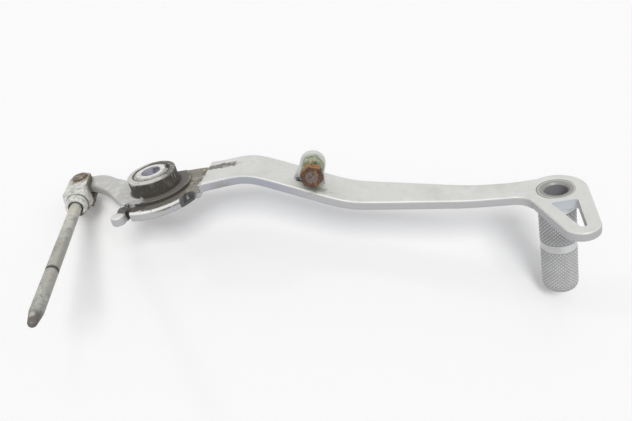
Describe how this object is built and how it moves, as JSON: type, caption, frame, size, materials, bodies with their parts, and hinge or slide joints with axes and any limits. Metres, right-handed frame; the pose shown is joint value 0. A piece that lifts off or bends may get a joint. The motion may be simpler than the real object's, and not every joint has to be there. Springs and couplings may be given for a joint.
{
  "type": "motorbike rear brake pedal",
  "caption": "Cast alloy rear brake pedal with a bushed pivot, jogged arm, tubular knurled toe peg, stop screw, and a fork with its push rod.",
  "frame": {"origin": "centre of the pivot bore, level with the cast disc round the hub", "axes": "+X runs forward along the arm to the toe peg, +Z runs along the pivot towards the bike, and +Y is the way the toe end moves when the pedal is pressed"},
  "size_m": [0.2702, 0.1296, 0.1013],
  "materials": {
    "cast_alloy": "satin silver paint, worn and greasy round the hub",
    "bush_bronze": "plain bearing bronze",
    "sleeve_steel": "ground steel",
    "seal_rubber": "matt, dusty",
    "peg_steel": "knurled, dull plating",
    "screw_rust": "rusty steel",
    "nut_zinc": "dull zinc with a green tint",
    "fork_zinc": "dull zinc with grime",
    "pin_steel": "zinc with brown rust",
    "rod_steel": "dull zinc, greenish grey"
  },
  "bodies": {
    "sleeve": {"pivot_sleeve": "sleeve_steel"},
    "pedal": {"pedal_arm": "cast_alloy", "pivot_bush": "bush_bronze", "seal_inboard": "seal_rubber", "seal_outboard": "seal_rubber", "toe_peg": "peg_steel", "stop_screw": "screw_rust", "stop_nut": "nut_zinc"},
    "rod": {"fork": "fork_zinc", "fork_pin": "pin_steel", "pin_washer": "pin_steel", "cotter_pin": "pin_steel", "push_rod": "rod_steel"}
  },
  "joints": [
    {"name": "pedal_turn", "type": "hinge", "parent": "sleeve", "child": "pedal", "pos_m": [0, 0, 0], "axis": [0, 0, 1], "range_deg": [0, 12]},
    {"name": "rod_swing", "type": "hinge", "parent": "pedal", "child": "rod", "pos_m": [-0.053, 0.0217, -0.0036], "axis": [0, 0, 1], "range_deg": [-12, 12]}
  ]
}
